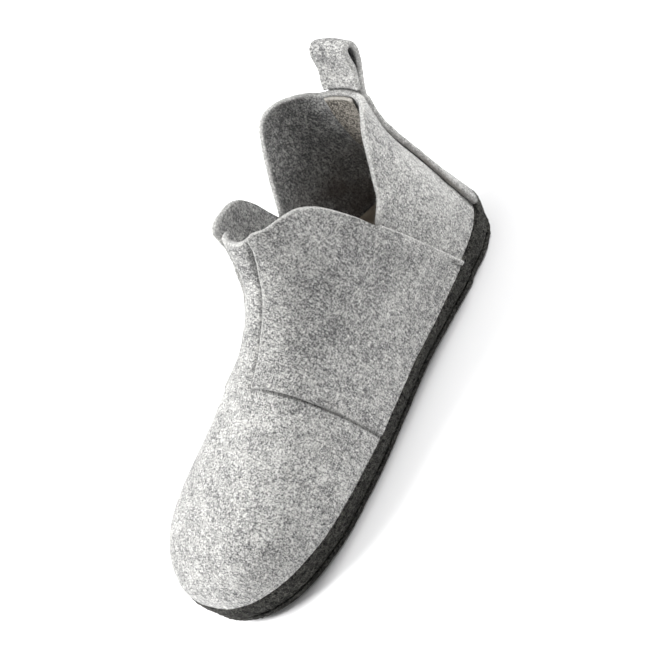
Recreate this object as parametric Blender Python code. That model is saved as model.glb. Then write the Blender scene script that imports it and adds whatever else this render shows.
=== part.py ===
# Felt slipper for the left foot: a stepped felt upper on a two-part rubber sole.
# Frame in metres: +X from heel to toe, +Y to the outer side, +Z up, floor at z = 0.
# The numbers in the tables are millimetres unless the column says share.
import math

import bmesh
import bpy
import numpy as np

MM = 0.001

# Main sizes
LENGTH = 265.0
FELT = 3.6
GAP = 0.3
FACET_ROOM = 0.3

# The tables below give places along a last of this length, and are stretched to LENGTH
LAST = 265.0
STRETCH = LENGTH / LAST
HEEL_CAP = 38.0
TOE_START = 203.0
RIDGE_START = 222.0

# Outline of the foot room at the sole, half widths by distance from the heel
# x, outer side, inner side
WIDTHS = (
    (0, 31.5, 31.0),
    (38, 33.5, 32.5),
    (55, 34.0, 32.0),
    (80, 35.2, 29.5),
    (106, 37.5, 28.5),
    (132, 41.5, 31.8),
    (159, 46.2, 43.0),
    (180, 48.0, 49.0),
    (203, 49.5, 50.5),
    (265, 49.5, 49.0),
)
HEEL_ROUND = 2.3
TOE_ROUND_OUT = 2.3
TOE_ROUND_IN = 2.5

# x, middle of the outline
MIDDLE = ((0, 0), (100, 0), (140, -0.5), (180, -2), (203, -3.5), (235, -6.5), (265, -9))

# x, height of the sole's upper edge
SOLE_TOP = ((0, 20), (40, 18), (85, 16), (140, 17), (190, 18), (230, 18.5), (265, 19.5))

# x, height of the line over the toes and the instep
RIDGE = (
    (-10, 290), (0, 270), (40, 222), (60, 195), (80, 163), (92, 141), (100, 128),
    (106.5, 121), (113.5, 114), (122, 104.8), (130.5, 96.8), (140, 89.6), (150, 83.4),
    (165, 76.4), (180, 69.5), (205, 62), (222, 57), (238, 53), (250, 49), (265, 44),
)
RIDGE_ROUND = 2.4

# x, fullness over the top, fullness of the side (2 is an ellipse)
FULLNESS = (
    (0, 2.2, 2.2), (80, 2.2, 2.2), (97, 2.5, 2.35), (108, 2.3, 2.2), (120, 1.95, 2.05),
    (150, 1.85, 2.0), (180, 1.9, 2.15), (205, 2.0, 2.3), (240, 2.3, 2.4), (265, 2.2, 2.2),
)

# height, how far the back of the heel lies forward
HEEL_LEAN = (
    (0, 3.8), (24, 5.0), (45, 8.0), (63, 10), (80, 11.4), (91, 11), (100, 9.6), (110, 7),
    (120, 4.6), (160, 4.6),
)
HEEL_LEAN_REACH = 95.0

# height, share by which the sides flare
FLARE = ((0, 0), (20, 0), (45, 0.07), (75, 0.14), (100, 0.19), (125, 0.22), (160, 0.24))
# x, share of the flare used
FLARE_USED = ((-10, 0.9), (30, 1), (62, 1), (82, 0.35), (100, 0.2), (125, 0), (300, 0))
# height, how far the front of the collar leans forward
FRONT_LEAN = (
    (0, 0), (90, 0), (104, 1.6), (114, 5), (121, 8.5), (128, 12), (140, 15), (170, 18),
)
FRONT_LEAN_START = 70.0
FRONT_LEAN_RUN = 26.0

# Grid columns of the upper: x at the sole, x at the top, height of the top edge
HEEL_COLUMNS = (
    (0.0, 0.0, 113.5), (0.22, 0.22, 113.5), (0.95, 0.95, 113.6), (3.2, 3.0, 114.0),
    (7, 6.5, 117.0),
    (12, 11.2, 120.0), (18, 17, 121.6), (24, 24.3, 121.3), (29.5, 30.6, 118.6),
    (33.5, 37, 112.0), (37, 46.4, 100.0), (40.5, 55.5, 89.5),
)
QUARTER_COLUMNS = (
    (44, 66, 82.5), (53, 70, 95.5), (62, 73.8, 107), (71, 77.4, 116),
    (80, 81.4, 122.4), (88, 85.9, 125.8), (96, 90.5, 127.8),
)
STRIP_COLUMNS = (
    (104, 96), (112, 103.5), (119.5, 112), (126.5, 121.5), (133.5, 131.5), (140, 142),
    (146.5, 153),
)
# how far the heel's outer corner lies behind and below the inner one, half of it
TAB_SWING = 6.2
TAB_TILT = 5.0
# columns over which it comes in from the heel's back, and goes out past the heel piece's end
TAB_START = 3
TAB_RISE = 4
TAB_PAST = 3
TAB_FALL = 5
# how far the strip's columns run forward on the way to the middle line, at the collar
STRIP_SWEEP = 5.0
VAMP_COLUMNS = (
    (153, 165), (164, 175), (175, 185), (186, 195), (197, 205), (208, 214.5),
    (218.5, 223.5), (228, 232), (236.5, 239.5), (244, 246), (250.5, 251.8),
    (256, 256.8), (260.2, 260.6), (263, 263.2), (264.6, 264.65), (265, 265),
)
# x at the top, distance from the middle line to the outer and the inner quarter's front edge
STRIP_HALF = (
    (96, 14.0, 14.0), (104, 12.6, 14.6), (115, 10.6, 15.6), (130, 8.6, 18.0),
    (145, 7.6, 21.0), (165, 7.6, 24.0), (185, 9.0, 26.0), (265, 9.0, 26.0),
)
STRIP_HALF_MOST = 0.6

SIDE_ROWS = 10
STRIP_ROWS = 3

# x, how far the top line lies to the outer side of the middle
RIDGE_SIDE = ((85, 0), (105, 1.2), (125, 3.0), (145, 2.6), (165, 1.2), (185, 0), (265, 0))


def table(rows, x, column=1):
    """Smooth reading of one column of a table, flat beyond its ends."""
    data = np.array(rows, float)
    xs, ys = data[:, 0], data[:, column]
    step = np.diff(xs)
    slope = np.diff(ys) / step
    tangent = np.zeros(len(xs))
    for k in range(1, len(xs) - 1):
        a, b = slope[k - 1], slope[k]
        if a * b > 0:
            w1 = 2 * step[k] + step[k - 1]
            w2 = step[k] + 2 * step[k - 1]
            tangent[k] = (w1 + w2) / (w1 / a + w2 / b)
    tangent[0], tangent[-1] = slope[0], slope[-1]
    x = np.clip(np.asarray(x, float), xs[0], xs[-1])
    k = np.clip(np.searchsorted(xs, x, side="right") - 1, 0, len(xs) - 2)
    t = (x - xs[k]) / step[k]
    return (
        ys[k] * (1 + 2 * t) * (1 - t) ** 2
        + tangent[k] * step[k] * t * (1 - t) ** 2
        + ys[k + 1] * t * t * (3 - 2 * t)
        + tangent[k + 1] * step[k] * t * t * (t - 1)
    )


def ease(t):
    t = np.clip(t, 0, 1)
    return t * t * (3 - 2 * t)


def half_width(side, x):
    """Half width of the foot room at the sole; side is 1 for outer, -1 for inner."""
    x = np.asarray(x, float)
    wide = np.where(side > 0, table(WIDTHS, x, 1), table(WIDTHS, x, 2))
    back = np.clip(1 - x / HEEL_CAP, 0, 1)
    wide = wide * (1 - back**HEEL_ROUND) ** (1 / HEEL_ROUND)
    power = np.where(side > 0, TOE_ROUND_OUT, TOE_ROUND_IN)
    toe = np.clip((x - TOE_START) / (LAST - TOE_START), 0, 1)
    return wide * (1 - toe**power) ** (1 / power)


def rise(x):
    """Height of the top line above the sole's upper edge."""
    foot = table(SOLE_TOP, x)
    toe = np.clip((x - RIDGE_START) / (LAST - RIDGE_START), 0, 1)
    return (table(RIDGE, x) - foot) * (1 - toe**RIDGE_ROUND) ** (1 / RIDGE_ROUND)


def last_point(side, x, turn):
    """Point of the last, in mm; turn runs from 0 at the sole to pi/2 on the top line."""
    side, x, turn = np.broadcast_arrays(
        np.asarray(side, float), np.asarray(x, float), np.asarray(turn, float)
    )
    top, wall = table(FULLNESS, x, 1), table(FULLNESS, x, 2)
    z = table(SOLE_TOP, x) + rise(x) * np.sin(turn) ** (2 / top)
    flare = 1 + table(FLARE, z) * table(FLARE_USED, x)
    y = table(MIDDLE, x) + side * half_width(side, x) * np.cos(turn) ** (2 / wall) * flare
    y = y + table(RIDGE_SIDE, x) * np.sin(turn) ** 4
    lean = ease(1 - x / HEEL_LEAN_REACH) * table(HEEL_LEAN, z)
    front = ease((x - FRONT_LEAN_START) / FRONT_LEAN_RUN) * table(FRONT_LEAN, z)
    return np.stack([x * STRETCH + lean + front, y, z], -1)


def turn_at_height(x, z):
    """The turn at which the side reaches a height."""
    share = np.clip((z - table(SOLE_TOP, x)) / rise(x), 0, 1)
    return np.arcsin(share ** (table(FULLNESS, x, 1) / 2))


def turn_at_side(side, x, y):
    """The turn at which the side is this far from the middle line."""
    share = np.clip(y / half_width(side, x), 0, 1)
    return np.arccos(share ** (table(FULLNESS, x, 2) / 2))


# Steps in x and in turn over which the last's normal is read, and how near it reads to the ends
READ_STEP = 0.2
READ_TURN = 0.004
NEAREST_X = 0.03
NEAREST_TURN = 0.0005


def last_normal(side, x, turn):
    """Outward unit normal of the last."""
    side, x, turn = np.broadcast_arrays(
        np.asarray(side, float), np.asarray(x, float), np.asarray(turn, float)
    )
    x0 = np.clip(x - READ_STEP, NEAREST_X, LAST - 2 * NEAREST_X)
    x1 = np.clip(x + READ_STEP, 2 * NEAREST_X, LAST - NEAREST_X)
    top = math.pi / 2 - NEAREST_TURN
    t0 = np.clip(turn - READ_TURN, NEAREST_TURN, top - READ_TURN)
    t1 = np.clip(turn + READ_TURN, NEAREST_TURN + READ_TURN, top)
    mid_x = (x0 + x1) / 2
    mid_t = (t0 + t1) / 2
    along = last_point(side, x1, mid_t) - last_point(side, x0, mid_t)
    up = last_point(side, mid_x, t1) - last_point(side, mid_x, t0)
    normal = np.cross(up, along) * side[..., None]
    return normal / np.linalg.norm(normal, axis=-1, keepdims=True)


def column_list():
    """Columns of one side as (x at the sole, x at the top, turn of the top)."""
    out = []
    for x_sole, x_top, z_top in HEEL_COLUMNS + QUARTER_COLUMNS:
        out.append((x_sole, x_top, z_top))
    for x_sole, x_top in STRIP_COLUMNS + VAMP_COLUMNS:
        out.append((x_sole, x_top, None))
    return out


COLUMNS = column_list()
REAR = len(HEEL_COLUMNS)
FRONT = REAR + len(QUARTER_COLUMNS)
SEAM = FRONT + len(STRIP_COLUMNS)
TIP = len(COLUMNS) - 1
ROWS = SIDE_ROWS + STRIP_ROWS


def tab_share(column):
    """How much of the heel corners' swing and tilt a column takes."""
    come = ease((column - TAB_START) / TAB_RISE)
    go = ease((REAR + TAB_PAST - column) / TAB_FALL)
    return float(come * go)


def top_place(side, column):
    """x of a column at its top edge."""
    return COLUMNS[column][1] - side * TAB_SWING * tab_share(column)


def edge_turn(side, column):
    """Turn at the top edge of the side rows of a column."""
    x_top, z_top = top_place(side, column), COLUMNS[column][2]
    if z_top is not None:
        return float(turn_at_height(x_top, z_top - side * TAB_TILT * tab_share(column)))
    if column == TIP:
        return math.pi / 2 * SIDE_ROWS / ROWS
    half = float(table(STRIP_HALF, x_top, 1 if side > 0 else 2))
    half = min(half, STRIP_HALF_MOST * float(half_width(side, x_top)))
    return float(turn_at_side(side, x_top, half))


def grid_place(side, column, row):
    """(x, turn) of a grid corner of the upper."""
    x_sole, x_top = COLUMNS[column][0], top_place(side, column)
    edge = edge_turn(side, column)
    if row <= SIDE_ROWS:
        share = row / SIDE_ROWS
        return x_sole + (x_top - x_sole) * share, edge * share
    share = (row - SIDE_ROWS) / STRIP_ROWS
    sweep = STRIP_SWEEP * min(max(SEAM - column, 0) / (SEAM - FRONT), 1.0)
    return x_top + sweep * share * (2 - share), edge + (math.pi / 2 - edge) * share


# Stand-off of the quarter from the last, as shares of the felt's thickness
REAR_STAND = 0.62
SEAM_STAND = 0.14
SEAM_STAND_TOP = 0.64
STAND_POWER = 1.6


def lift(column, row):
    """How far the quarter stands off the last, by grid corner, in mm."""
    along = (column - REAR) / (SEAM - REAR)
    share = min(row / SIDE_ROWS, 1.0)
    seam = SEAM_STAND + (SEAM_STAND_TOP - SEAM_STAND) * share**2
    rear = REAR_STAND + (1 - REAR_STAND) * share
    power = 1 + STAND_POWER * share
    return FELT * (rear + (seam - rear) * float(ease(along)) ** power)


def outer_panel(column, row):
    """Panel of a grid cell as seen from outside."""
    if row < SIDE_ROWS and REAR <= column < SEAM:
        return "quarter"
    return "base"


def inner_panel(column, row):
    """Panel of a grid cell as seen from inside, where the laps lie under the quarter."""
    if not (row < SIDE_ROWS and REAR + 1 <= column < SEAM - 1):
        return "base"
    if row >= SIDE_ROWS - 1 and column >= FRONT - 1:
        return "base"
    return "quarter"


def outer_offset(panel, column, row):
    return lift(column, row) if panel == "quarter" else 0.0


def inner_offset(panel, column, row):
    return lift(column, row) - FELT if panel == "quarter" else -FELT


def in_grid(column, row):
    """True where the upper has felt."""
    if not 0 <= column < TIP or not 0 <= row < ROWS:
        return False
    return row < SIDE_ROWS or column >= FRONT


# Outward way at the tip of the toe
TIP_NORMAL = (1.0, -0.05, 0.0)


class Shell:
    """Gathers corners and faces of one closed wall."""

    def __init__(self):
        self.points, self.index, self.faces = [], {}, []
        self.levels = {}

    def corner(self, side, column, row, level):
        if column == TIP:
            side, row = 0, 0
        elif column == 0 or row == ROWS:
            side = 0
        key = (side, column, row, round(level, 5))
        if key not in self.index:
            x, turn = grid_place(side or 1, column, row)
            point = last_point(side or 1, x, turn)
            normal = last_normal(side or 1, x, turn)
            if side == 0 and column != TIP:
                other = last_normal(-1, x, turn)
                normal = (normal + other) / np.linalg.norm(normal + other)
            if column == TIP:
                normal = np.array(TIP_NORMAL)
            if row == 0:
                normal = normal * (1, 1, 0)
                normal /= np.linalg.norm(normal)
            self.index[key] = len(self.points)
            self.points.append(point + normal * level)
            self.levels.setdefault(key[:3], []).append(round(level, 5))
        return self.index[key]

    def between(self, side, column, row, a, b):
        """Corners at the levels met on the way from a to b, both ends included."""
        if column == TIP:
            side, row = 0, 0
        elif column == 0 or row == ROWS:
            side = 0
        a, b = round(a, 5), round(b, 5)
        low, high = min(a, b), max(a, b)
        found = sorted({v for v in self.levels[(side, column, row)] if low < v < high})
        levels = [a] + (found if a < b else found[::-1]) + [b]
        return [self.corner(side, column, row, v) for v in levels]

    def face(self, corners, side):
        ring = [c for k, c in enumerate(corners) if c != corners[k - 1]]
        if len(set(ring)) >= 3:
            self.faces.append(ring if side > 0 else ring[::-1])


def cell_corners(column, row):
    return ((column, row), (column + 1, row), (column + 1, row + 1), (column, row + 1))


def upper_shell():
    """The upper's points and faces."""
    shell = Shell()
    cells = [(c, r) for c in range(TIP) for r in range(ROWS) if in_grid(c, r)]
    skins = ((outer_panel, outer_offset), (inner_panel, inner_offset))
    for side in (1, -1):
        for inside, (panel, offset) in enumerate(skins):
            for c, r in cells:
                corners = [
                    shell.corner(side, i, j, offset(panel(c, r), i, j))
                    for i, j in cell_corners(c, r)
                ]
                shell.face(corners if inside else corners[::-1], side)
    for side in (1, -1):
        for c, r in cells:
            ring = cell_corners(c, r)
            for k, other in enumerate(((c, r - 1), (c + 1, r), (c, r + 1), (c - 1, r))):
                a, b = ring[k], ring[(k + 1) % 4]
                if in_grid(*other):
                    if other < (c, r):
                        continue
                    for inside, (panel, offset) in enumerate(skins):
                        here, there = panel(c, r), panel(*other)
                        if here == there:
                            continue
                        wall = shell.between(side, *a, offset(here, *a), offset(there, *a))
                        wall += shell.between(side, *b, offset(there, *b), offset(here, *b))
                        shell.face(wall[::-1] if inside else wall, side)
                    continue
                if (k == 3 and c == 0) or (k == 2 and r == ROWS - 1) or (k == 1 and c == TIP - 1):
                    continue
                high, low = outer_panel(c, r), inner_panel(c, r)
                rim = shell.between(side, *a, outer_offset(high, *a), inner_offset(low, *a))
                rim += shell.between(side, *b, inner_offset(low, *b), outer_offset(high, *b))
                shell.face(rim, side)
    return shell.points, shell.faces


def add_mesh(name, points, faces, material):
    """A mesh object in the part's collection, from points in mm."""
    mesh = bpy.data.meshes.new(name)
    mesh.from_pydata([tuple(np.asarray(p, float) * MM) for p in points], [], faces)
    form = bmesh.new()
    form.from_mesh(mesh)
    bmesh.ops.recalc_face_normals(form, faces=form.faces)
    form.to_mesh(mesh)
    form.free()
    mesh.update()
    obj = bpy.data.objects.new(name, mesh)
    PART.objects.link(obj)
    obj.data.materials.append(material)
    return obj


def material(name, colour, roughness, metallic=0.0):
    made = bpy.data.materials.new(name)
    made.use_nodes = True
    shader = made.node_tree.nodes["Principled BSDF"]
    shader.inputs["Base Color"].default_value = (*colour, 1.0)
    shader.inputs["Roughness"].default_value = roughness
    shader.inputs["Metallic"].default_value = metallic
    return made


# Sole sizes
OUTSOLE = 4.0
# x, height of the underside
UNDERSIDE = (
    (0, 1.6), (7, 0.2), (14, 0), (72, 0), (100, 0.9), (128, 0), (196, 0), (215, 0.5),
    (240, 1.4), (265, 3.4),
)
# x, how far the lower edge lies inside the upper edge
UNDERCUT = (
    (0, 5.0), (30, 4.2), (80, 6.5), (115, 7.5), (160, 6.5), (215, 5.6), (245, 2.8), (265, 1.0),
)
# share of the height, share of the undercut, bulge in mm
MIDSOLE_SIDE = (
    (0.0, 0.86, -1.2), (0.12, 0.8, 0.0), (0.4, 0.55, 0.5), (0.7, 0.24, 0.6),
    (0.92, 0.05, 0.3), (1.0, 0.0, -0.5),
)
OUTSOLE_SIDE = ((0.0, 1.0, -2.0), (0.25, 1.0, -0.5), (0.6, 0.95, 0.0), (1.0, 0.9, -0.2))
SOLE_MARGIN = 0.2
# stand-off at the sole: where it starts and ends, how long it takes, share of the felt
EDGE_LIFT_START = 43.0
EDGE_LIFT_RISE = 6.0
EDGE_LIFT_END = 110.0
EDGE_LIFT_FALL = 50.0
EDGE_LIFT_SHARE = 0.55


def outline_stations():
    """x of the sole's outline points on one side, close together at the ends."""
    back = HEEL_CAP * (1 - np.cos(np.linspace(0, math.pi / 2, 8)))
    middle = np.linspace(HEEL_CAP, TOE_START, 12)[1:-1]
    front = TOE_START + (LAST - TOE_START) * np.sin(np.linspace(0, math.pi / 2, 10))
    return np.concatenate([back, middle, front])


def edge_lift(x):
    """Felt stand-off at the sole by x, so that the sole reaches under the quarters."""
    rear = ease((x - EDGE_LIFT_START) / EDGE_LIFT_RISE)
    front = 1 - ease((x - EDGE_LIFT_END) / EDGE_LIFT_FALL)
    return FELT * EDGE_LIFT_SHARE * rear * front


def outline(inset, shift=0.0):
    """Closed outline seen from above, moved in by inset(x), with the heel shifted forward."""
    xs = outline_stations()
    rings = []
    for side in (1, -1):
        wide = half_width(side, xs)
        y = table(MIDDLE, xs) + side * (wide + edge_lift(xs) * (wide > 1))
        rings.append(np.stack([xs * STRETCH, y], -1))
    ring = np.concatenate([rings[0], rings[1][-2:0:-1]])
    ahead, behind = np.roll(ring, -1, 0), np.roll(ring, 1, 0)
    places = ring[:, 0] / STRETCH
    tangent = ahead - behind
    tangent /= np.linalg.norm(tangent, axis=1, keepdims=True)
    inward = np.stack([tangent[:, 1], -tangent[:, 0]], -1)
    moved = ring + inward * np.reshape(inset(places), (-1, 1))
    moved[:, 0] += shift * ease(1 - places / HEEL_LEAN_REACH)
    return places, moved


def ring_solid(name, rings, made):
    """A closed solid through rings of equal count, with flat fans at both ends."""
    count = len(rings[0])
    points = [p for ring in rings for p in ring]
    faces = []
    for k in range(len(rings) - 1):
        for i in range(count):
            j = (i + 1) % count
            faces.append((k * count + i, (k + 1) * count + i, (k + 1) * count + j, k * count + j))
    half = count // 2
    top = (len(rings) - 1) * count
    for i in range(1, half):
        a, b = i, i + 1 if i + 1 <= half else half
        c, d = count - i - 1, count - i
        if i == 1:
            faces.append((0, 1, count - 1))
            faces.append((top, top + count - 1, top + 1))
        if a != c and b != c:
            faces.append((a, b, c, d))
            faces.append((top + a, top + d, top + c, top + b))
        else:
            faces.append((a, b, d))
            faces.append((top + a, top + d, top + b))
    return add_mesh(name, points, faces, made)


def underside(x):
    return table(UNDERSIDE, x)


def outsole_top(x):
    return table(UNDERSIDE, x) + OUTSOLE


def midsole_foot(x):
    return outsole_top(x) + GAP


def midsole_top(x):
    return table(SOLE_TOP, x) - GAP


def sole_ring(share, undercut, bulge, low, high):
    """One ring of a sole's side between two heights along x."""

    def inset(x):
        return table(UNDERCUT, x) * undercut - bulge - SOLE_MARGIN

    xs, flat = outline(inset)
    z = low(xs) + (high(xs) - low(xs)) * share
    return [(p[0], p[1], h) for p, h in zip(flat, z)]


def make_midsole():
    rings = [sole_ring(*row, midsole_foot, midsole_top) for row in MIDSOLE_SIDE]
    return ring_solid("midsole", rings, RUBBER)


def make_outsole():
    rings = [sole_ring(*row, underside, outsole_top) for row in OUTSOLE_SIDE]
    return ring_solid("outsole", rings, TREAD)


INSOLE = 3.2
INSOLE_ROOM = 1.2
# x, height of the footbed's cupped rim above the sole's upper edge
CUP = (
    (0, 20.0), (25, 23.0), (45, 28.0), (75, 23.0), (110, 10.0), (150, 5.0), (200, 4.4),
    (265, 4.2),
)
# Rings of the footbed from below over the rim to its floor: share of the way from the sole to
# the floor, share of the way from the floor to the rim, inset, height at which the heel leans
INSOLE_SIDE = (
    (0.0, 0.0, 0.4, 22.0), (0.75, 0.0, 0.0, 22.0), (1.0, 0.9, 0.2, 40.0),
    (1.0, 1.0, 0.9, 41.0), (1.0, 0.95, 1.9, 40.0), (1.0, 0.3, 4.6, 29.0), (1.0, 0.0, 10.0, 22.0),
)


def footbed_height(x, floor_share, rim_share):
    """Height of a ring of the footbed."""
    up = INSOLE * floor_share + (table(CUP, x) - INSOLE) * rim_share
    return table(SOLE_TOP, x) + up


def make_insole():
    rings = []
    for floor_share, rim_share, step, level in INSOLE_SIDE:

        def inset(x, step=step):
            return FELT + GAP + INSOLE_ROOM + step + edge_lift(x)

        xs, flat = outline(inset, float(table(HEEL_LEAN, level)))
        z = footbed_height(xs, floor_share, rim_share)
        rings.append([(p[0], p[1], h) for p, h in zip(flat, z)])
    return ring_solid("insole", rings, FOOTBED)


# Heel strip and pull loop
STRIP_WIDE = 14.0
STRIP_FOOT = 23.0
# height at which it starts to widen, and how far down the widening takes
STRIP_WIDEN = 98.0
STRIP_WIDEN_RUN = 78.0
STRIP_TOP = 108.0
STRIP_LIFT = 0.1
HEEL_STRIP_ROWS = 13
# X and height of the loop's middle line behind the heel, sag at the edge
LOOP = (
    (1.6, 112.6, 2.4), (-2.2, 117.4, 1.8), (-6.0, 122.2, 1.2), (-8.9, 126.6, 0.9),
    (-10.2, 130.2, 0.8), (-9.6, 133.4, 0.8), (-6.8, 135.0, 0.8), (-3.9, 133.6, 0.8),
    (-2.3, 130.6, 0.8), (-1.6, 127.2, 0.9), (-0.8, 123.8, 1.1), (1.0, 120.6, 1.5),
    (3.0, 117.7, 2.0), (4.0, 115.3, 2.3),
)
LOOP_END = (4.6, 113.5)
LINING_THICK = 1.2
LINING_HALF = 12.0
LINING_FOOT = 46.0
LINING_TOP = 112.0
LINING_ROWS = 11


def heel_place(y, z):
    """(side, x, turn) of the heel's surface at a distance from the middle and a height."""
    side = 1 if y >= 0 else -1
    low, high = 0.0, 60.0
    for _ in range(40):
        x = (low + high) / 2
        turn = float(turn_at_height(x, z))
        reach = abs(float(last_point(side, x, turn)[1]))
        low, high = (x, high) if reach < abs(y) else (low, x)
    return side, x, turn


def heel_point(y, z, level):
    """A point this far off the outside of the heel piece."""
    side, x, turn = heel_place(y, z)
    normal = last_normal(side, max(x, 0.05), turn)
    if abs(y) < 1e-6:
        normal = normal * (1, 0, 1)
        normal /= np.linalg.norm(normal)
    return last_point(side, x, turn) + normal * level


def slab(name, front, back, made):
    """A closed sheet between two grids of points of the same size."""
    rows, columns = len(front), len(front[0])
    points = [p for row in front for p in row] + [p for row in back for p in row]
    other = rows * columns
    faces = []
    for r in range(rows - 1):
        for c in range(columns - 1):
            a = r * columns + c
            faces.append((a, a + 1, a + columns + 1, a + columns))
            faces.append((other + a, other + a + columns, other + a + columns + 1, other + a + 1))
    ring = list(range(columns))
    ring += [r * columns + columns - 1 for r in range(1, rows)]
    ring += [(rows - 1) * columns + c for c in range(columns - 2, -1, -1)]
    ring += [r * columns for r in range(rows - 2, 0, -1)]
    for k, a in enumerate(ring):
        b = ring[(k + 1) % len(ring)]
        faces.append((b, a, other + a, other + b))
    return add_mesh(name, points, faces, made)


def across(half, count=9):
    return [half * (2 * k / (count - 1) - 1) for k in range(count)]


def make_heel_strip():
    outer, inner = [], []
    foot = float(table(SOLE_TOP, 0)) + STRIP_LIFT
    for z in np.linspace(foot, STRIP_TOP, HEEL_STRIP_ROWS):
        wider = float(ease((STRIP_WIDEN - z) / STRIP_WIDEN_RUN))
        half = STRIP_WIDE + (STRIP_FOOT - STRIP_WIDE) * wider
        face = GAP + FACET_ROOM
        outer.append([heel_point(y, z, face + FELT) for y in across(half)])
        inner.append([heel_point(y, z, face) for y in across(half)])
    path = np.array(LOOP)
    for k, (x, z, sag) in enumerate(LOOP):
        before = path[k - 1, :2] if k else (outer[-1][4][[0, 2]] + inner[-1][4][[0, 2]]) / 2
        after = path[k + 1, :2] if k + 1 < len(path) else np.array(LOOP_END)
        run = after - before
        run /= np.linalg.norm(run)
        away = np.array([-run[1], run[0]]) * FELT / 2
        for rows, way in ((outer, 1), (inner, -1)):
            rows.append([
                np.array([x + way * away[0] + sag * (y / STRIP_WIDE) ** 2, y, z + way * away[1]])
                for y in across(STRIP_WIDE)
            ])
    return slab("heel_strip", outer, inner, WOOL)


def make_heel_lining():
    outer, inner = [], []
    for z in np.linspace(LINING_FOOT, LINING_TOP, LINING_ROWS):
        face = -FELT - GAP - FACET_ROOM
        outer.append([heel_point(y, z, face) for y in across(LINING_HALF)])
        inner.append([heel_point(y, z, face - LINING_THICK) for y in across(LINING_HALF)])
    return slab("heel_lining", outer, inner, LINING)


def make_upper():
    points, faces = upper_shell()
    return add_mesh("upper", points, faces, WOOL)


def centre_part():
    """Moves the part so that its box stands centred over the origin, on the floor."""
    corners = np.array([v.co for obj in PART.objects for v in obj.data.vertices])
    low, high = corners.min(axis=0), corners.max(axis=0)
    for obj in PART.objects:
        for v in obj.data.vertices:
            v.co.x -= (low[0] + high[0]) / 2
            v.co.y -= (low[1] + high[1]) / 2
            v.co.z -= low[2]


def clear_scene():
    for obj in list(bpy.data.objects):
        bpy.data.objects.remove(obj, do_unlink=True)


clear_scene()
PART = bpy.data.collections.new("felt_slipper")
bpy.context.scene.collection.children.link(PART)
WOOL = material("wool_felt", (0.48, 0.47, 0.46), 0.95)
LINING = material("heel_lining", (0.30, 0.25, 0.20), 0.9)
FOOTBED = material("footbed", (0.36, 0.31, 0.24), 0.9)
RUBBER = material("midsole_rubber", (0.045, 0.045, 0.045), 0.85)
TREAD = material("outsole_rubber", (0.035, 0.035, 0.035), 0.8)

make_upper()
make_midsole()
make_outsole()
make_insole()
make_heel_strip()
make_heel_lining()
centre_part()
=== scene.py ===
# Felt slipper for the left foot, dressed: wool felt sheets, crumbly sole, lining and footbed.
# The form's tables are the shoe's own, in mm, with the heel at x = 0 and the toe at x = LENGTH.
import math

import bpy
import numpy as np
from mathutils import Matrix, Vector


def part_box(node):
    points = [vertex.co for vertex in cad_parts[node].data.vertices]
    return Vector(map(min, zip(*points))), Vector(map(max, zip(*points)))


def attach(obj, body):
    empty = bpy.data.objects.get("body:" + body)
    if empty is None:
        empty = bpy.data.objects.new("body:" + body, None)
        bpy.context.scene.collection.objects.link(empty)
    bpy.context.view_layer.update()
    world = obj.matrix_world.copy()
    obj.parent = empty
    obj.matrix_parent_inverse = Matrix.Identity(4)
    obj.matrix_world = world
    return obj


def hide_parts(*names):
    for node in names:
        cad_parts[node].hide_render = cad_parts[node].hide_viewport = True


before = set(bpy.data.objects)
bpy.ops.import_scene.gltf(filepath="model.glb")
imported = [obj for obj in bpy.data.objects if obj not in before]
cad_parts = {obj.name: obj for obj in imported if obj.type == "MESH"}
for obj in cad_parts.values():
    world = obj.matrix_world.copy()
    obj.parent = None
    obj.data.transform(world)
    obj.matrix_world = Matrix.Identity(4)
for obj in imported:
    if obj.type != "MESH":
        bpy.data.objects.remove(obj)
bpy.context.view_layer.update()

MM = 0.001

# Main sizes
LENGTH = 265.0
FELT = 3.6
GAP = 0.3
FACET_ROOM = 0.3

# The tables below give places along a last of this length, and are stretched to LENGTH
LAST = 265.0
STRETCH = LENGTH / LAST
HEEL_CAP = 38.0
TOE_START = 203.0
RIDGE_START = 222.0

# Outline of the foot room at the sole, half widths by distance from the heel
# x, outer side, inner side
WIDTHS = (
    (0, 31.5, 31.0),
    (38, 33.5, 32.5),
    (55, 34.0, 32.0),
    (80, 35.2, 29.5),
    (106, 37.5, 28.5),
    (132, 41.5, 31.8),
    (159, 46.2, 43.0),
    (180, 48.0, 49.0),
    (203, 49.5, 50.5),
    (265, 49.5, 49.0),
)
HEEL_ROUND = 2.3
TOE_ROUND_OUT = 2.3
TOE_ROUND_IN = 2.5

# x, middle of the outline
MIDDLE = ((0, 0), (100, 0), (140, -0.5), (180, -2), (203, -3.5), (235, -6.5), (265, -9))

# x, height of the sole's upper edge
SOLE_TOP = ((0, 20), (40, 18), (85, 16), (140, 17), (190, 18), (230, 18.5), (265, 19.5))

# x, height of the line over the toes and the instep
RIDGE = (
    (-10, 290), (0, 270), (40, 222), (60, 195), (80, 163), (92, 141), (100, 128),
    (106.5, 121), (113.5, 114), (122, 104.8), (130.5, 96.8), (140, 89.6), (150, 83.4),
    (165, 76.4), (180, 69.5), (205, 62), (222, 57), (238, 53), (250, 49), (265, 44),
)
RIDGE_ROUND = 2.4

# x, fullness over the top, fullness of the side (2 is an ellipse)
FULLNESS = (
    (0, 2.2, 2.2), (80, 2.2, 2.2), (97, 2.5, 2.35), (108, 2.3, 2.2), (120, 1.95, 2.05),
    (150, 1.85, 2.0), (180, 1.9, 2.15), (205, 2.0, 2.3), (240, 2.3, 2.4), (265, 2.2, 2.2),
)

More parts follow.
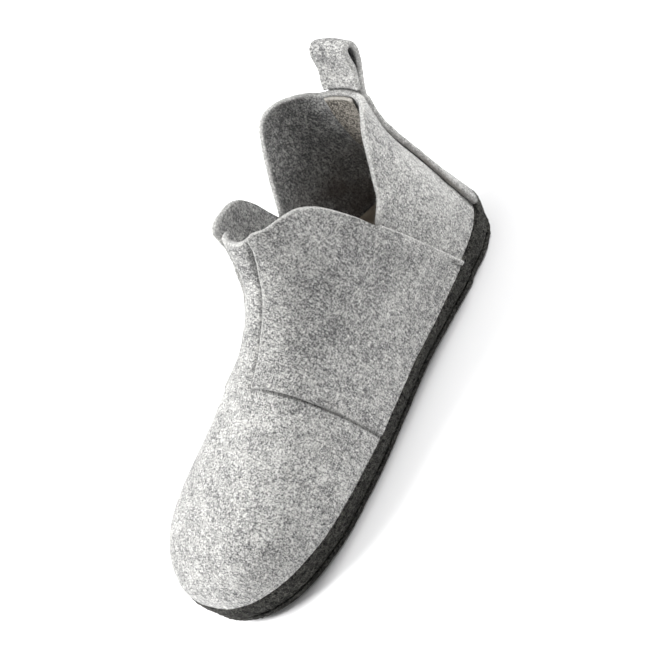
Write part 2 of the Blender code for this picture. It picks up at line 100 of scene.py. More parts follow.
# height, how far the back of the heel lies forward
HEEL_LEAN = (
    (0, 3.8), (24, 5.0), (45, 8.0), (63, 10), (80, 11.4), (91, 11), (100, 9.6), (110, 7),
    (120, 4.6), (160, 4.6),
)
HEEL_LEAN_REACH = 95.0

# height, share by which the sides flare
FLARE = ((0, 0), (20, 0), (45, 0.07), (75, 0.14), (100, 0.19), (125, 0.22), (160, 0.24))
# x, share of the flare used
FLARE_USED = ((-10, 0.9), (30, 1), (62, 1), (82, 0.35), (100, 0.2), (125, 0), (300, 0))
# height, how far the front of the collar leans forward
FRONT_LEAN = (
    (0, 0), (90, 0), (104, 1.6), (114, 5), (121, 8.5), (128, 12), (140, 15), (170, 18),
)
FRONT_LEAN_START = 70.0
FRONT_LEAN_RUN = 26.0

# Grid columns of the upper: x at the sole, x at the top, height of the top edge
HEEL_COLUMNS = (
    (0.0, 0.0, 113.5), (0.22, 0.22, 113.5), (0.95, 0.95, 113.6), (3.2, 3.0, 114.0),
    (7, 6.5, 117.0),
    (12, 11.2, 120.0), (18, 17, 121.6), (24, 24.3, 121.3), (29.5, 30.6, 118.6),
    (33.5, 37, 112.0), (37, 46.4, 100.0), (40.5, 55.5, 89.5),
)
QUARTER_COLUMNS = (
    (44, 66, 82.5), (53, 70, 95.5), (62, 73.8, 107), (71, 77.4, 116),
    (80, 81.4, 122.4), (88, 85.9, 125.8), (96, 90.5, 127.8),
)
STRIP_COLUMNS = (
    (104, 96), (112, 103.5), (119.5, 112), (126.5, 121.5), (133.5, 131.5), (140, 142),
    (146.5, 153),
)
# how far the heel's outer corner lies behind and below the inner one, half of it
TAB_SWING = 6.2
TAB_TILT = 5.0
# columns over which it comes in from the heel's back, and goes out past the heel piece's end
TAB_START = 3
TAB_RISE = 4
TAB_PAST = 3
TAB_FALL = 5
# how far the strip's columns run forward on the way to the middle line, at the collar
STRIP_SWEEP = 5.0
VAMP_COLUMNS = (
    (153, 165), (164, 175), (175, 185), (186, 195), (197, 205), (208, 214.5),
    (218.5, 223.5), (228, 232), (236.5, 239.5), (244, 246), (250.5, 251.8),
    (256, 256.8), (260.2, 260.6), (263, 263.2), (264.6, 264.65), (265, 265),
)
# x at the top, distance from the middle line to the outer and the inner quarter's front edge
STRIP_HALF = (
    (96, 14.0, 14.0), (104, 12.6, 14.6), (115, 10.6, 15.6), (130, 8.6, 18.0),
    (145, 7.6, 21.0), (165, 7.6, 24.0), (185, 9.0, 26.0), (265, 9.0, 26.0),
)
STRIP_HALF_MOST = 0.6

SIDE_ROWS = 10
STRIP_ROWS = 3

# x, how far the top line lies to the outer side of the middle
RIDGE_SIDE = ((85, 0), (105, 1.2), (125, 3.0), (145, 2.6), (165, 1.2), (185, 0), (265, 0))


def curve(values, slopes, k, step, t):
    """A smooth reading between rows k and k + 1, at the share t of the step."""
    return (
        values[k] * (1 + 2 * t) * (1 - t) ** 2
        + slopes[k] * step * t * (1 - t) ** 2
        + values[k + 1] * t * t * (3 - 2 * t)
        + slopes[k + 1] * step * t * t * (t - 1)
    )


def table(rows, x, column=1):
    """Smooth reading of one column of a table, flat beyond its ends."""
    data = np.array(rows, float)
    xs, ys = data[:, 0], data[:, column]
    step = np.diff(xs)
    slope = np.diff(ys) / step
    tangent = np.zeros(len(xs))
    for k in range(1, len(xs) - 1):
        a, b = slope[k - 1], slope[k]
        if a * b > 0:
            w1 = 2 * step[k] + step[k - 1]
            w2 = step[k] + 2 * step[k - 1]
            tangent[k] = (w1 + w2) / (w1 / a + w2 / b)
    tangent[0], tangent[-1] = slope[0], slope[-1]
    x = np.clip(np.asarray(x, float), xs[0], xs[-1])
    k = np.clip(np.searchsorted(xs, x, side="right") - 1, 0, len(xs) - 2)
    return curve(ys, tangent, k, step[k], (x - xs[k]) / step[k])


def matched(*values):
    """Numbers and arrays brought to one shape."""
    return np.broadcast_arrays(*(np.asarray(value, float) for value in values))


def ease(t):
    """0 below 0 and 1 above 1, smooth between."""
    t = np.clip(t, 0, 1)
    return t * t * (3 - 2 * t)


def half_width(side, x):
    """Half width of the foot room at the sole; side is 1 for outer, -1 for inner."""
    x = np.asarray(x, float)
    wide = np.where(side > 0, table(WIDTHS, x, 1), table(WIDTHS, x, 2))
    back = np.clip(1 - x / HEEL_CAP, 0, 1)
    wide = wide * (1 - back**HEEL_ROUND) ** (1 / HEEL_ROUND)
    power = np.where(side > 0, TOE_ROUND_OUT, TOE_ROUND_IN)
    toe = np.clip((x - TOE_START) / (LAST - TOE_START), 0, 1)
    return wide * (1 - toe**power) ** (1 / power)


def rise(x):
    """Height of the top line above the sole's upper edge."""
    foot = table(SOLE_TOP, x)
    toe = np.clip((x - RIDGE_START) / (LAST - RIDGE_START), 0, 1)
    return (table(RIDGE, x) - foot) * (1 - toe**RIDGE_ROUND) ** (1 / RIDGE_ROUND)


def last_point(side, x, turn):
    """Point of the last, in mm; turn runs from 0 at the sole to pi/2 on the top line."""
    side, x, turn = matched(side, x, turn)
    top, wall = table(FULLNESS, x, 1), table(FULLNESS, x, 2)
    z = table(SOLE_TOP, x) + rise(x) * np.sin(turn) ** (2 / top)
    flare = 1 + table(FLARE, z) * table(FLARE_USED, x)
    y = table(MIDDLE, x) + side * half_width(side, x) * np.cos(turn) ** (2 / wall) * flare
    y = y + table(RIDGE_SIDE, x) * np.sin(turn) ** 4
    lean = ease(1 - x / HEEL_LEAN_REACH) * table(HEEL_LEAN, z)
    front = ease((x - FRONT_LEAN_START) / FRONT_LEAN_RUN) * table(FRONT_LEAN, z)
    return np.stack([x * STRETCH + lean + front, y, z], -1)


def turn_at_height(x, z):
    """The turn at which the side reaches a height."""
    share = np.clip((z - table(SOLE_TOP, x)) / rise(x), 0, 1)
    return np.arcsin(share ** (table(FULLNESS, x, 1) / 2))


def turn_at_side(side, x, y):
    """The turn at which the side is this far from the middle line."""
    share = np.clip(y / half_width(side, x), 0, 1)
    return np.arccos(share ** (table(FULLNESS, x, 2) / 2))


# Steps in x and in turn over which the last's normal is read, and how near it reads to the ends
READ_STEP = 0.2
READ_TURN = 0.004
NEAREST_X = 0.03
NEAREST_TURN = 0.0005


def last_normal(side, x, turn):
    """Outward unit normal of the last."""
    side, x, turn = matched(side, x, turn)
    x0 = np.clip(x - READ_STEP, NEAREST_X, LAST - 2 * NEAREST_X)
    x1 = np.clip(x + READ_STEP, 2 * NEAREST_X, LAST - NEAREST_X)
    top = math.pi / 2 - NEAREST_TURN
    t0 = np.clip(turn - READ_TURN, NEAREST_TURN, top - READ_TURN)
    t1 = np.clip(turn + READ_TURN, NEAREST_TURN + READ_TURN, top)
    mid_x = (x0 + x1) / 2
    mid_t = (t0 + t1) / 2
    along = last_point(side, x1, mid_t) - last_point(side, x0, mid_t)
    up = last_point(side, mid_x, t1) - last_point(side, mid_x, t0)
    return unit(np.cross(up, along) * side[..., None])


# Columns of one side as (x at the sole, x at the top, height of the top edge where it has one)
COLUMNS = [*HEEL_COLUMNS, *QUARTER_COLUMNS]
COLUMNS += [(*pair, None) for pair in STRIP_COLUMNS + VAMP_COLUMNS]
REAR = len(HEEL_COLUMNS)
FRONT = REAR + len(QUARTER_COLUMNS)
SEAM = FRONT + len(STRIP_COLUMNS)
TIP = len(COLUMNS) - 1
ROWS = SIDE_ROWS + STRIP_ROWS


def tab_share(column):
    """How much of the heel corners' swing and tilt a column takes."""
    come = ease((column - TAB_START) / TAB_RISE)
    go = ease((REAR + TAB_PAST - column) / TAB_FALL)
    return float(come * go)


def top_place(side, column):
    """x of a column at its top edge."""
    return COLUMNS[column][1] - side * TAB_SWING * tab_share(column)


def edge_turn(side, column):
    """Turn at the top edge of the side rows of a column."""
    x_top, z_top = top_place(side, column), COLUMNS[column][2]
    if z_top is not None:
        return float(turn_at_height(x_top, z_top - side * TAB_TILT * tab_share(column)))
    if column == TIP:
        return math.pi / 2 * SIDE_ROWS / ROWS
    half = float(table(STRIP_HALF, x_top, 1 if side > 0 else 2))
    half = min(half, STRIP_HALF_MOST * float(half_width(side, x_top)))
    return float(turn_at_side(side, x_top, half))


# Stand-off of the quarter from the last, as shares of the felt's thickness
REAR_STAND = 0.62
SEAM_STAND = 0.14
SEAM_STAND_TOP = 0.64
STAND_POWER = 1.6


# Sole sizes
OUTSOLE = 4.0
# x, height of the underside
UNDERSIDE = (
    (0, 1.6), (7, 0.2), (14, 0), (72, 0), (100, 0.9), (128, 0), (196, 0), (215, 0.5),
    (240, 1.4), (265, 3.4),
)
# x, how far the lower edge lies inside the upper edge
UNDERCUT = (
    (0, 5.0), (30, 4.2), (80, 6.5), (115, 7.5), (160, 6.5), (215, 5.6), (245, 2.8), (265, 1.0),
)
# share of the height, share of the undercut, bulge in mm
MIDSOLE_SIDE = (
    (0.0, 0.86, -1.2), (0.12, 0.8, 0.0), (0.4, 0.55, 0.5), (0.7, 0.24, 0.6),
    (0.92, 0.05, 0.3), (1.0, 0.0, -0.5),
)
OUTSOLE_SIDE = ((0.0, 1.0, -2.0), (0.25, 1.0, -0.5), (0.6, 0.95, 0.0), (1.0, 0.9, -0.2))
SOLE_MARGIN = 0.2
# stand-off at the sole: where it starts and ends, how long it takes, share of the felt
EDGE_LIFT_START = 43.0
EDGE_LIFT_RISE = 6.0
EDGE_LIFT_END = 110.0
EDGE_LIFT_FALL = 50.0
EDGE_LIFT_SHARE = 0.55


def edge_lift(x):
    """Felt stand-off at the sole by x, so that the sole reaches under the quarters."""
    rear = ease((x - EDGE_LIFT_START) / EDGE_LIFT_RISE)
    front = 1 - ease((x - EDGE_LIFT_END) / EDGE_LIFT_FALL)
    return FELT * EDGE_LIFT_SHARE * rear * front


def underside(x):
    return table(UNDERSIDE, x)


def outsole_top(x):
    return table(UNDERSIDE, x) + OUTSOLE


def midsole_foot(x):
    return outsole_top(x) + GAP


def midsole_top(x):
    return table(SOLE_TOP, x) - GAP


INSOLE = 3.2
INSOLE_ROOM = 1.2
# x, height of the footbed's cupped rim above the sole's upper edge
CUP = (
    (0, 20.0), (25, 23.0), (45, 28.0), (75, 23.0), (110, 10.0), (150, 5.0), (200, 4.4),
    (265, 4.2),
)
# Rings of the footbed from below over the rim to its floor: share of the way from the sole to
# the floor, share of the way from the floor to the rim, inset, height at which the heel leans
INSOLE_SIDE = (
    (0.0, 0.0, 0.4, 22.0), (0.75, 0.0, 0.0, 22.0), (1.0, 0.9, 0.2, 40.0),
    (1.0, 1.0, 0.9, 41.0), (1.0, 0.95, 1.9, 40.0), (1.0, 0.3, 4.6, 29.0), (1.0, 0.0, 10.0, 22.0),
)


def footbed_height(x, floor_share, rim_share):
    """Height of a ring of the footbed."""
    up = INSOLE * floor_share + (table(CUP, x) - INSOLE) * rim_share
    return table(SOLE_TOP, x) + up


# Heel strip and pull loop
STRIP_WIDE = 14.0
STRIP_FOOT = 23.0
# height at which it starts to widen, and how far down the widening takes
STRIP_WIDEN = 98.0
STRIP_WIDEN_RUN = 78.0
STRIP_TOP = 108.0
STRIP_LIFT = 0.1
# X and height of the loop's middle line behind the heel, sag at the edge
LOOP = (
    (1.6, 112.6, 2.4), (-2.2, 117.4, 1.8), (-6.0, 122.2, 1.2), (-8.9, 126.6, 0.9),
    (-10.2, 130.2, 0.8), (-9.6, 133.4, 0.8), (-6.8, 135.0, 0.8), (-3.9, 133.6, 0.8),
    (-2.3, 130.6, 0.8), (-1.6, 127.2, 0.9), (-0.8, 123.8, 1.1), (1.0, 120.6, 1.5),
    (3.0, 117.7, 2.0), (4.0, 115.3, 2.3),
)
LOOP_END = (4.6, 113.5)
LINING_THICK = 1.2
LINING_HALF = 12.0
LINING_FOOT = 46.0
LINING_TOP = 112.0


# Where the shoe's own frame lies in the part's frame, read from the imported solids, in mm
UPPER_HIGH = np.array(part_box("upper")[1]) / MM
STRIP_LOW, STRIP_HIGH = (np.array(corner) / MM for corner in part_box("heel_strip"))
SHIFT = np.array([
    LENGTH - float(UPPER_HIGH[0]),
    -float(STRIP_LOW[1] + STRIP_HIGH[1]) / 2,
    0.0,
])
RANDOM = np.random.default_rng(7)


def unit(v):
    return v / np.maximum(np.linalg.norm(v, axis=-1, keepdims=True), 1e-9)


def wave(points, pitch, seed):
    """Smooth uneven noise of about -1 to 1 at points in mm."""
    rng = np.random.default_rng(seed)
    total = np.zeros(points.shape[:-1])
    for _ in range(14):
        way = rng.normal(size=3)
        way /= np.linalg.norm(way)
        length = pitch * rng.uniform(0.55, 1.7)
        total += np.sin(points @ way * (2 * math.pi / length) + rng.uniform(0, 6.28))
    return total / 5.3


def bell(distance, reach):
    """1 where the distance is 0, falling away softly."""
    return np.exp(-((distance / reach) ** 2))


# Materials
class Tree:
    """Short calls for building one material."""

    def __init__(self, name, roughness, specular=0.5, sheen=0.0):
        self.made = bpy.data.materials.new(name)
        self.made.use_nodes = True
        self.nodes = self.made.node_tree.nodes
        self.links = self.made.node_tree.links
        self.shader = self.nodes["Principled BSDF"]
        self.shader.inputs["Roughness"].default_value = roughness
        self.shader.inputs["Specular IOR Level"].default_value = specular
        self.shader.inputs["Sheen Weight"].default_value = sheen
        place = self.nodes.new("ShaderNodeTexCoord")
        self.place = self.scaled(place.outputs["Object"], (1 / MM, 1 / MM, 1 / MM))

    def node(self, kind, place=None, **values):
        """A new node with the given values, read at a place."""
        node = self.nodes.new("ShaderNode" + kind)
        for name, value in values.items():
            node.inputs[name].default_value = value
        if place:
            self.links.new(place, node.inputs["Vector"])
        return node

    def put(self, value, socket):
        """A number or colour set in a socket, or another socket linked to it."""
        if isinstance(value, bpy.types.NodeSocket):
            self.links.new(value, socket)
        else:
            socket.default_value = value

    def scaled(self, source, scale, turn=(0, 0, 0)):
        return self.node("Mapping", source, Scale=scale, Rotation=turn).outputs["Vector"]

    def noise(self, pitch, detail=3.0, rough=0.55, distort=0.0, place=None):
        return self.node(
            "TexNoise", place or self.place, Scale=1.0 / pitch, Detail=detail, Roughness=rough,
            Distortion=distort,
        ).outputs["Fac"]

    def cells(self, pitch):
        return self.node("TexVoronoi", self.place, Scale=1.0 / pitch).outputs["Distance"]

    def ramp(self, source, low, high, to_low=0.0, to_high=1.0):
        ends = {"From Min": low, "From Max": high, "To Min": to_low, "To Max": to_high}
        node = self.node("MapRange", **ends)
        node.interpolation_type = "SMOOTHSTEP"
        self.links.new(source, node.inputs["Value"])
        return node.outputs["Result"]

    def math(self, kind, a, b):
        node = self.node("Math")
        node.operation = kind
        self.put(a, node.inputs[0])
        self.put(b, node.inputs[1])
        return node.outputs["Value"]

    def mix(self, factor, a, b):
        node = self.node("Mix")
        node.data_type = "RGBA"
        self.links.new(factor, node.inputs["Factor"])
        for key, value in (("A", a), ("B", b)):
            socket = next(s for s in node.inputs if s.name == key and s.type == "RGBA")
            self.put((*value, 1.0) if isinstance(value, tuple) else value, socket)
        return next(s for s in node.outputs if s.type == "RGBA")

    def attribute(self, name):
        node = self.node("Attribute")
        node.attribute_name = name
        return node.outputs["Fac"]

    def colour(self, socket):
        self.links.new(socket, self.shader.inputs["Base Color"])

    def bump(self, height, distance, strength=1.0, before=None):
        node = self.node("Bump", Distance=distance * MM, Strength=strength)
        self.links.new(height, node.inputs["Height"])
        if before:
            self.links.new(before, node.inputs["Normal"])
        self.links.new(node.outputs["Normal"], self.shader.inputs["Normal"])
        return node.outputs["Normal"]


def felt_material(name, light, middle, dark, depth=1.0):
    """Heathered wool felt: pale and dark fibres matted together, cloudy patches, a painted
    highlight on the cut edges and painted shade in the folds.
    """
    t = Tree(name, 0.95, 0.12, 0.3)
    matted = None
    for k, (turn, stretch) in enumerate((
        ((0.3, 0.2, 0.5), (1.0, 0.26, 1.0)), ((0.5, 1.0, 1.9), (0.26, 1.0, 1.0)),
        ((1.4, 0.3, 2.7), (1.0, 1.0, 0.26)), ((2.2, 0.9, 0.8), (1.0, 0.3, 0.3)),
    )):
        place = t.scaled(t.place, stretch, turn)
        strand = t.ramp(t.noise(0.55 + 0.08 * k, 2.5, 0.62, 0.9, place), 0.36, 0.64, -0.5, 0.5)
        matted = strand if matted is None else t.math("ADD", matted, strand)
    grain = t.math("SUBTRACT", t.noise(1.0, 3.0, 0.75, 0.7), 0.5)
    cloud = t.math("SUBTRACT", t.noise(9.0, 4.0, 0.62, 0.8), 0.5)
    value = t.math("ADD", t.math("MULTIPLY", matted, 0.34), t.math("MULTIPLY", grain, 2.75))
    value = t.math("ADD", value, t.math("MULTIPLY", cloud, 0.85))
    # random mottling and painted light and shade by place, read from the mesh
    value = t.math("SUBTRACT", value, t.attribute("mottle_and_shade"))
    low = t.mix(t.ramp(value, -0.5, 0.0), dark, middle)
    body = t.mix(t.ramp(value, -0.02, 0.5), low, light)
    # painted highlight along the cut edges, where the rounded edge catches the light
    edge_highlight = t.mix(t.ramp(value, -0.4, 0.3), middle, light)
    body = t.mix(t.math("MULTIPLY", t.attribute("edge"), 0.75), body, edge_highlight)
    # a dark tan on the inner face, stronger low down and toward the heel
    body = t.mix(t.math("MULTIPLY", t.attribute("warm"), 0.9), body, INSIDE_TAN)
    # painted shade: along folds, seams and grooves the felt is darkened almost to black
    body = t.mix(t.math("MULTIPLY", t.attribute("fold_shade"), 0.88), body, (0.025, 0.025, 0.026))
    t.colour(body)
    soft = t.bump(t.noise(5.0, 3.0, 0.6), 0.9, 0.35 * depth)
    height = t.math("ADD", t.math("MULTIPLY", grain, 1.4), t.math("MULTIPLY", matted, 0.3))
    t.bump(height, 0.5, 0.9 * depth, soft)
    t.shader.inputs["Sheen Roughness"].default_value = 0.6
    return t.made


def fibre_material(name):
    """Loose wool fibres, each with its own shade."""
    t = Tree(name, 0.8, 0.2, 0.2)
    tint = t.mix(t.attribute("shade"), (0.06, 0.06, 0.063), (0.80, 0.79, 0.77))
    t.colour(t.mix(t.ramp(t.noise(3.0), 0.3, 0.7, 0.0, 0.25), tint, (0.42, 0.415, 0.41)))
    return t.made


def lining_material():
    """Coarse tan and brown lining cloth."""
    t = Tree("lining_cloth", 0.9, 0.2)
    weave = t.cells(1.15)
    patches = t.ramp(t.noise(5.0, 4.0, 0.6), 0.35, 0.68)
    tint = t.mix(patches, (0.255, 0.235, 0.205), (0.13, 0.118, 0.1))
    tint = t.mix(t.ramp(weave, 0.25, 0.75), tint, (0.045, 0.041, 0.036))
    tint = t.mix(t.ramp(t.noise(0.8, 3.0, 0.7), 0.5, 0.72, 0.0, 0.6), tint, (0.48, 0.45, 0.4))
    t.colour(t.mix(t.math("MULTIPLY", t.attribute("edge"), 0.5), tint, (0.56, 0.54, 0.5)))
    t.bump(t.math("ADD", t.math("MULTIPLY", weave, -1.0), t.noise(1.2, 4.0, 0.7)), 0.6, 0.8)
    return t.made


def footbed_material():
    """The footbed's worn tan felt."""
    t = Tree("footbed_felt", 0.95, sheen=0.2)
    tint = t.mix(t.ramp(t.noise(9.0, 4.0, 0.6), 0.35, 0.7), (0.4, 0.34, 0.27), (0.28, 0.235, 0.185))
    t.colour(t.mix(t.ramp(t.noise(0.8, 4.0, 0.7), 0.5, 0.75), tint, (0.18, 0.15, 0.12)))
    t.bump(t.noise(1.1, 4.0, 0.7, 0.5), 0.5, 0.9)
    return t.made


def sole_material(name, base, speck_and_highlight, gloss):
    """Crumb rubber: dark and pitted, with pale specks and crumbs; raised grit and lumps are painted
    lighter and low places darker, as painted light and shade.
    """
    t = Tree(name, gloss, 0.16)
    crumbs = t.cells(1.3)
    grit = t.noise(0.8, 4.0, 0.8, 0.6)
    lumps = t.ramp(t.noise(2.1, 5.0, 0.72, 1.3), 0.43, 0.55)
    # painted light and shade: where the bump's grit and lumps stand high the colour is paler, where
    # they lie low it is darker
    low = t.mix(t.ramp(grit, 0.42, 0.62), tuple(0.3 * c for c in base), base)
    high = t.mix(t.ramp(grit, 0.43, 0.56), base, speck_and_highlight)
    tint = t.mix(lumps, low, high)
    bits = t.ramp(t.cells(2.3), 0.0, 0.2, 1.0, 0.0)
    t.colour(t.mix(t.math("MULTIPLY", bits, 0.3), tint, (0.26, 0.26, 0.23)))
    soft = t.bump(t.math("ADD", lumps, t.noise(3.4, 4.0, 0.75)), 2.2, 1.0)
    t.bump(t.math("ADD", crumbs, t.math("MULTIPLY", grit, 2.0)), 1.1, 1.0, soft)
    return t.made


INSIDE_TAN = (0.105, 0.07, 0.05)
FELT_GREY = felt_material(
    "heather_felt", (0.74, 0.738, 0.71), (0.365, 0.362, 0.352), (0.06, 0.06, 0.062)
)
FIBRE = fibre_material("wool_fibre")
LINING = lining_material()
FOOTBED = footbed_material()
MIDSOLE = sole_material("midsole_crumb", (0.02, 0.0197, 0.0175), (0.21, 0.207, 0.185), 0.5)
OUTSOLE_MADE = sole_material("outsole_crumb", (0.018, 0.0177, 0.016), (0.19, 0.187, 0.167), 0.46)


# Meshes
def link_mesh(name, places, faces, made, nodes=(), marks=None):
    """A smooth mesh from places in the part's frame, in metres, with named values per point."""
    mesh = bpy.data.meshes.new(name)
    mesh.from_pydata(places.tolist(), [], faces)
    for key, values in (marks or {}).items():
        layer = mesh.attributes.new(key, "FLOAT", "POINT")
        layer.data.foreach_set("value", np.asarray(values, np.float32))
    mesh.update()
    mesh.polygons.foreach_set("use_smooth", [True] * len(mesh.polygons))
    obj = bpy.data.objects.new(name, mesh)
    bpy.context.scene.collection.objects.link(obj)
    mesh.materials.append(made)
    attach(obj, "root")
    if nodes:
        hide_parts(*nodes)


def add_mesh(name, points, faces, made, slot_name, *nodes, marks=None):
    """The same from points in the shoe's frame, in mm."""
    places = (np.asarray(points, float) - SHIFT) * MM
    link_mesh(name, places, faces.tolist(), made, nodes, marks)


# column, x at the sole, then x at the top and turn of the edge for the outer and inner side
READ = [
    (k, COLUMNS[k][0], top_place(1, k), top_place(-1, k), edge_turn(1, k), edge_turn(-1, k))
    for k in range(TIP + 1)
]


def grid_spot(side, column, row):
    """(x, turn) of any place on the upper's grid, in fractions of columns and rows."""
    x_sole = table(READ, column, 1)
    x_top = np.where(side > 0, table(READ, column, 2), table(READ, column, 3))
    edge = np.where(side > 0, table(READ, column, 4), table(READ, column, 5))
    share = np.clip(row / SIDE_ROWS, 0, 1)
    over = np.clip((row - SIDE_ROWS) / STRIP_ROWS, 0, 1)
    sweep = STRIP_SWEEP * np.clip((SEAM - column) / (SEAM - FRONT), 0, 1)
    x = x_sole + (x_top - x_sole) * share + sweep * over * (2 - over)
    return x, edge * share + (math.pi / 2 - edge) * over


def standing(column, row):
    """How far the quarter stands off the last, in mm."""
    along = np.clip((column - REAR) / (SEAM - REAR), 0, 1)
    share = np.clip(row / SIDE_ROWS, 0, 1)
    seam = SEAM_STAND + (SEAM_STAND_TOP - SEAM_STAND) * share**2
    rear = REAR_STAND + (1 - REAR_STAND) * share
    return FELT * (rear + (seam - rear) * ease(along) ** (1 + STAND_POWER * share))


def spot_normal(side, x, turn):
    """Outward normals, made even across the middle line so that both sides share them."""
    normal = last_normal(side, x, turn)
    other = last_normal(-side, x, turn)
    even = normal + other
    even[..., 1] = 0
    away = np.clip(np.abs(np.cos(turn)) * half_width(side, x) / 4.0, 0, 1)[..., None]
    return unit(unit(even) * (1 - away) + normal * away)


CUT_ROUND = 1.1


def cut_drop(distance):
    """How far a rounded cut edge falls at a distance from it, in mm."""
    t = np.clip(1 - distance / CUT_ROUND, 0, 1)
    return CUT_ROUND * (1 - np.sqrt(1 - t * t))


def fine_steps(low, high, count, closer_low=True, closer_high=True, reach=0.35):
    """Even steps from low to high, with finer ones beside the ends asked for."""
    steps = [np.linspace(low, high, count)]
    close = np.array([0.08, 0.2, 0.36, 0.6, 1.0]) * reach
    if closer_low:
        steps.append(low + close)
    if closer_high:
        steps.append(high - close)
    return np.unique(np.concatenate(steps).round(6))


def run_length(points, axis, from_end=False):
    """Distance along grid lines from the first line, or from the last one."""
    step = np.linalg.norm(np.diff(points, axis=axis), axis=-1)
    if from_end:
        step = np.flip(step, axis)
    total = np.cumsum(step, axis=axis)
    total = np.insert(total, 0, 0, axis=axis)
    return np.flip(total, axis) if from_end else total


def cut_distance(middle):
    """Distance from a sheet's top edge and both its side edges."""
    beside = np.minimum(run_length(middle, 1), run_length(middle, 1, True))
    return np.minimum(beside, run_length(middle, 0, True))


def whole(middle):
    """The mask of a sheet that has felt everywhere."""
    return np.ones((middle.shape[0] - 1, middle.shape[1] - 1), bool)


def dents(points):
    """Soft unevenness of the felt, in mm."""
    return 0.42 * wave(points, 46, 11) + 0.2 * wave(points, 17, 12) + 0.07 * wave(points, 5.5, 13)


# x, y, z, reach in mm and darkness (below 0 for lighter) of the places made darker or lighter on
# the felt: partly cloudy patches, partly painted light and shade, such as the shaded middle of the
# outer quarter and the lit vamp, toe, inner side and heel
LIGHT_SHADE_AND_CLOUDS = (
    (95, 38, 85, 26, 0.08), (125, 34, 70, 24, 0.07), (75, 38, 60, 18, 0.05),
    (112, 6, 120, 9, 0.2), (200, 20, 55, 40, -0.07), (245, 10, 45, 26, -0.06),
    (130, -30, 80, 40, -0.08), (-8, 0, 132, 13, 0.22), (20, 30, 60, 30, -0.1),
)


def mottle_and_shade_at(points):
    """How much darker than its mean the felt is at each point: random mottling plus the listed
    places of cloudiness and painted light and shade.
    """
    mottle_and_shade = 0.05 + 0.06 * wave(points, 30, 21)
    for x, y, z, reach, dark in LIGHT_SHADE_AND_CLOUDS:
        away = np.linalg.norm(points - np.array([x, y, z]), axis=-1)
        mottle_and_shade = mottle_and_shade + dark * bell(away, reach)
    return mottle_and_shade


def inside_tan(points):
    """How far a dark tan colour covers the inner face, stronger low down and toward the heel."""
    x, z = points[..., 0], points[..., 2]
    deep = ease((95 - z) / 40) * ease((95 - x) / 40)
    return 0.75 * deep * np.clip(0.7 + 0.4 * wave(points, 16, 51), 0, 1)


def sheet_faces(mask):
    """Faces of a closed sheet over a grid: its front, its back and the walls round the mask."""
    rows, columns = mask.shape
    r, c = np.nonzero(mask)
    a = r * (columns + 1) + c
    quads = np.stack([a, a + 1, a + columns + 2, a + columns + 1], -1)
    count = (rows + 1) * (columns + 1)
    padded = np.pad(mask, 1)
    beside = (padded[r, c + 1], padded[r + 1, c + 2], padded[r + 2, c + 1], padded[r + 1, c])
    walls = []
    for k in range(4):
        p, q = quads[~beside[k], k], quads[~beside[k], (k + 1) % 4]
        walls.append(np.stack([q, p, p + count, q + count], -1))
    return np.concatenate([quads, quads[:, ::-1] + count] + walls)


def felt_sheet(name, middle, normal, high, low, distance, mask, *nodes, fold_shade=0.0, pale=1.0):
    """A closed felt sheet along a grid of points, where the mask has felt.

    high and low are the outer and inner face's distances off the last; fold_shade is the
    painted shade along a fold or seam line, and pale the strength of the painted highlight on the
    cut edge.
    """
    drop = cut_drop(distance)
    wobble = dents(middle)
    outer = middle + normal * (high - drop + wobble)[..., None]
    inner = middle + normal * (low + drop + wobble)[..., None]
    faces = sheet_faces(mask)
    points = np.concatenate([outer.reshape(-1, 3), inner.reshape(-1, 3)])
    used = np.unique(faces)
    place = np.full(len(points), -1)
    place[used] = np.arange(len(used))
    edge = bell(distance, 1.35) * pale
    fold_shade = np.broadcast_to(fold_shade, edge.shape)
    # the inner face is 0.2 darker, as painted shade inside the shoe
    both = {
        "mottle_and_shade": (mottle_and_shade_at(middle), mottle_and_shade_at(middle) + 0.2), "edge": (edge, edge),
        "fold_shade": (fold_shade, 0 * fold_shade), "warm": (0 * edge, inside_tan(middle)),
    }
    marks = {key: np.concatenate([a.ravel(), b.ravel()])[used] for key, (a, b) in both.items()}
    add_mesh(name, points[used], place[faces], FELT_GREY, "wool_felt", *nodes, marks=marks)


def columns_between(low, high, per_column):
    """Fractions of columns, closer where a column's half width runs out at the heel or toe."""
    steps = np.linspace(low, high, int(round((high - low) * per_column)) + 1)
    if low == 0:
        steps = np.concatenate([np.linspace(0, 1, 5) ** 2.3, steps[steps > 1.0]])
    if high == TIP:
        steps = np.concatenate([steps[steps < TIP - 1], TIP - np.linspace(1, 0, 7) ** 2.3])
    return np.unique(steps.round(7))


def grid_place(side, column, row):
    """Points and normals of the last at places on the upper's grid."""
    x, turn = grid_spot(side, column, row)
    return last_point(side, x, turn), spot_normal(side, x, turn)


# curl of the outer quarter's rear corner: how far it lifts, how high and how far forward it runs
CURL_LIFT = 0.9
CURL_HIGH = 11.0
CURL_BACK = 3.0
# the groove in front of the curl: width and depth
GROOVE_WIDE = 0.8
GROOVE_DEEP = 0.6


